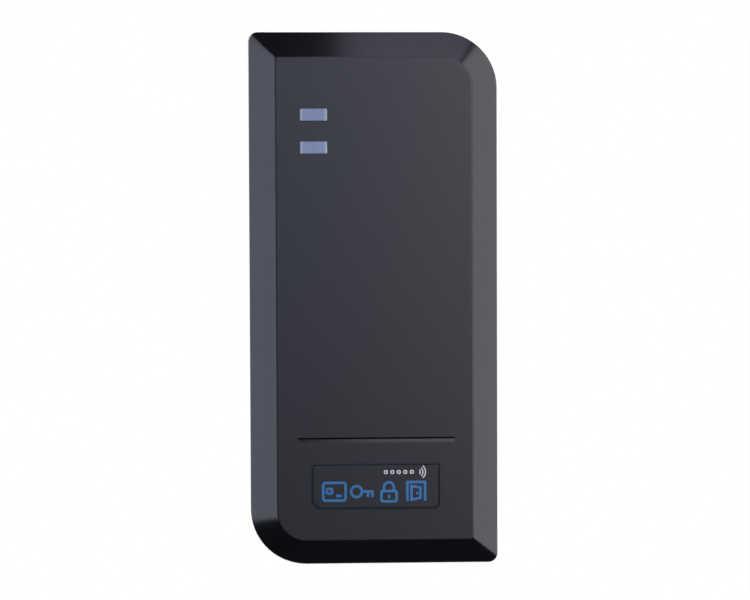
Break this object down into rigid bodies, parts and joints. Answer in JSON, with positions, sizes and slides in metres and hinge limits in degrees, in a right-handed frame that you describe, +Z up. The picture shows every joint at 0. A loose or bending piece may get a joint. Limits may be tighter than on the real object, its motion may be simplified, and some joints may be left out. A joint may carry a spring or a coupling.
{
  "type": "wall-mounted proximity card reader",
  "caption": "Slim wall-mounted contactless card reader: bevelled black casing with two light windows, engraved line and nameplate, hooked on a wall plate and locked by a screw.",
  "frame": {"origin": "on the wall, in the middle of the wall plate's rear face", "axes": "+X right as seen from the front, +Y into the wall, +Z up; the front face looks along -Y"},
  "size_m": [0.048, 0.0231, 0.103],
  "materials": {
    "housing_black": "fine spark-eroded texture, satin black",
    "plate_black": "plain moulded black",
    "window_blue": "translucent pale blue-grey, polished",
    "badge_silver": "printed satin black plate with pale blue pictograms",
    "adhesive_grey": "foam tape",
    "rubber_black": "moulded rubber",
    "screw_steel": "zinc plated",
    "lock_steel": "stainless, turned",
    "insert_brass": "turned brass",
    "label_white": "blank polyester film",
    "board_green": "green solder mask",
    "former_white": "natural nylon",
    "copper_wire": "enamelled copper",
    "chip_black": "moulded epoxy with tinned legs",
    "can_metal": "bare can",
    "ferrite_grey": "ferrite",
    "ceramic_tan": "ceramic chip",
    "lamp_white": "white lamp package",
    "baffle_white": "white foam block",
    "film_yellow": "film capacitor",
    "header_ivory": "ivory connector",
    "contact_tin": "tin plated"
  },
  "bodies": {
    "wall_plate": {"wall_plate": "plate_black", "lock_insert": "insert_brass"},
    "reader": {"front_housing": "housing_black", "rear_cover": "plate_black", "cover_gasket": "rubber_black", "cover_screws": "screw_steel", "board_screws": "screw_steel", "cable_grommet": "rubber_black", "rear_label": "label_white", "led_lens_upper": "window_blue", "led_lens_lower": "window_blue", "light_baffle": "baffle_white", "badge_adhesive": "adhesive_grey", "badge_plate": "badge_silver", "coil_former": "former_white", "antenna_coil": "copper_wire", "coil_leads": "copper_wire", "main_board": "board_green", "microcontroller": "chip_black", "rf_reader_chip": "chip_black", "voltage_regulator": "chip_black", "electrolytic_capacitors": "can_metal", "chip_resistors": "chip_black", "chip_capacitors": "ceramic_tan", "tuning_capacitor": "film_yellow", "protection_diode": "chip_black", "driver_transistors": "chip_black", "buzzer": "chip_black", "crystal": "can_metal", "power_inductor": "ferrite_grey", "status_leds": "lamp_white", "cable_header": "header_ivory", "header_pins": "contact_tin"},
    "captive_washer": {"captive_washer": "lock_steel"},
    "lock_screw": {"lock_screw": "lock_steel"}
  },
  "joints": [
    {"name": "reader_swing", "type": "hinge", "parent": "wall_plate", "child": "reader", "pos_m": [0, -0.0012, 0.0507], "axis": [-1, 0, 0], "range_deg": [0, 20]},
    {"name": "lock_travel", "type": "slide", "parent": "reader", "child": "captive_washer", "axis": [0, 0, 1], "range_m": [0, 0.003]},
    {"name": "lock_turn", "type": "hinge", "parent": "captive_washer", "child": "lock_screw", "pos_m": [0, -0.0072, -0.0496], "axis": [0, 0, 1], "range_deg": [0, 2160]}
  ],
  "couplings": [
    {"joint": "lock_turn", "follows": "lock_travel", "rad_per_m": 12566}
  ]
}
